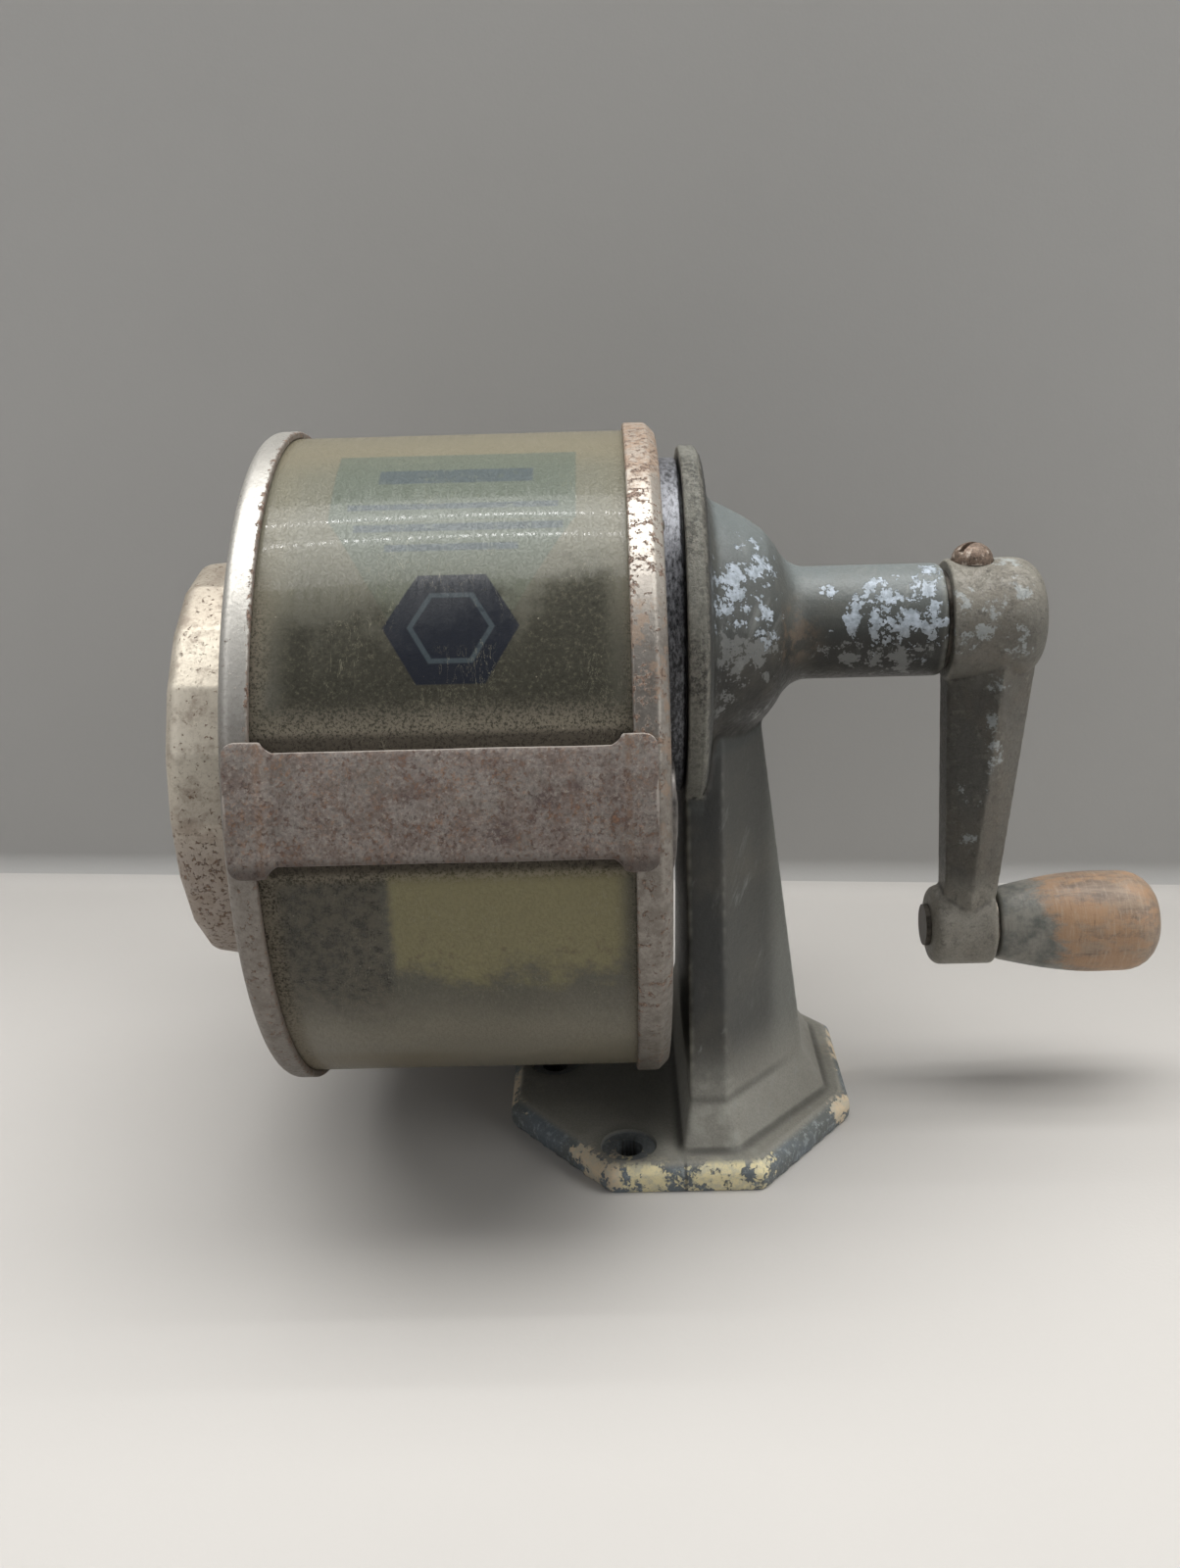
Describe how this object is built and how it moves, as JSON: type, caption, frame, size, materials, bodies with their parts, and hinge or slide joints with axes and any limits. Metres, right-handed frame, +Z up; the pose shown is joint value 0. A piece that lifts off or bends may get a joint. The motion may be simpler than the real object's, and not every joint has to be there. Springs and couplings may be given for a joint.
{
  "type": "crank pencil sharpener",
  "caption": "Hand-cranked pencil sharpener with a clear shavings drum, a size dial and a planetary cutter head on a cast stand.",
  "frame": {"origin": "centre of the base plate's underside", "axes": "+X along the shaft towards the crank, +Z up, -Y the side with the latch spring"},
  "size_m": [0.1409, 0.0934, 0.1015],
  "materials": {
    "stand_enamel": "worn grey-green enamel",
    "gear_steel": "machined",
    "bush_bronze": "oiled",
    "cap_nickel": "dulled nickel plate",
    "cap_rusty": "nickel plate with rust",
    "celluloid": "aged, translucent, dusty",
    "strap_steel": "rusted",
    "collar_steel": "blued",
    "spring_steel": "tempered",
    "fastener_steel": "plain",
    "dial_nickel": "dulled nickel plate",
    "cutter_steel": "ground",
    "carrier_metal": "die cast",
    "crank_enamel": "worn grey enamel",
    "screw_rusty": "rusted",
    "knob_wood": "worn paint over bare wood"
  },
  "bodies": {
    "stand": {"stand": "stand_enamel", "ring_gear": "gear_steel", "front_bush": "bush_bronze", "rear_bush": "bush_bronze"},
    "receptacle": {"front_cap": "cap_nickel", "rear_cap": "cap_rusty", "drum": "celluloid", "strap_near": "strap_steel", "strap_far": "strap_steel", "mount_collar": "collar_steel", "collar_rivets": "fastener_steel", "latch_spring": "spring_steel", "latch_rivet": "fastener_steel", "dial_rivet": "fastener_steel", "dial_spacer": "gear_steel", "dial_washer": "spring_steel", "detent_spring": "spring_steel"},
    "dial": {"dial": "dial_nickel"},
    "crank": {"cutter_carrier": "carrier_metal", "pencil_guide": "gear_steel", "arbor_pins": "fastener_steel", "spindle": "fastener_steel", "thrust_washer": "gear_steel", "crank_arm": "crank_enamel", "hub_screw": "screw_rusty", "knob_stud": "fastener_steel", "knob_washer": "gear_steel"},
    "cutter_a": {"cutter_a": "cutter_steel", "pinion_a": "gear_steel"},
    "cutter_b": {"cutter_b": "cutter_steel", "pinion_b": "gear_steel"},
    "knob": {"knob": "knob_wood"}
  },
  "joints": [
    {"name": "crank_turn", "type": "hinge", "parent": "stand", "child": "crank", "pos_m": [0, 0, 0.0735], "axis": [1, 0, 0], "continuous": true},
    {"name": "cutter_a_spin", "type": "hinge", "parent": "crank", "child": "cutter_a", "pos_m": [0.00355, 0, 0.0799], "axis": [0.9863, 0, -0.165], "continuous": true},
    {"name": "cutter_b_spin", "type": "hinge", "parent": "crank", "child": "cutter_b", "pos_m": [0.00355, 0, 0.0671], "axis": [0.9863, 0, 0.165], "continuous": true},
    {"name": "knob_spin", "type": "hinge", "parent": "crank", "child": "knob", "pos_m": [0.06, 0, 0.0262], "axis": [1, 0, 0], "continuous": true},
    {"name": "dial_turn", "type": "hinge", "parent": "receptacle", "child": "dial", "pos_m": [-0.062, 0, 0.0555], "axis": [1, 0, 0], "continuous": true},
    {"name": "receptacle_pull", "type": "slide", "parent": "stand", "child": "receptacle", "axis": [-1, 0, 0], "range_m": [0, 0.08]}
  ],
  "couplings": [
    {"joint": "cutter_a_spin", "follows": "crank_turn", "ratio": -2.3333},
    {"joint": "cutter_b_spin", "follows": "crank_turn", "ratio": -2.3333}
  ]
}
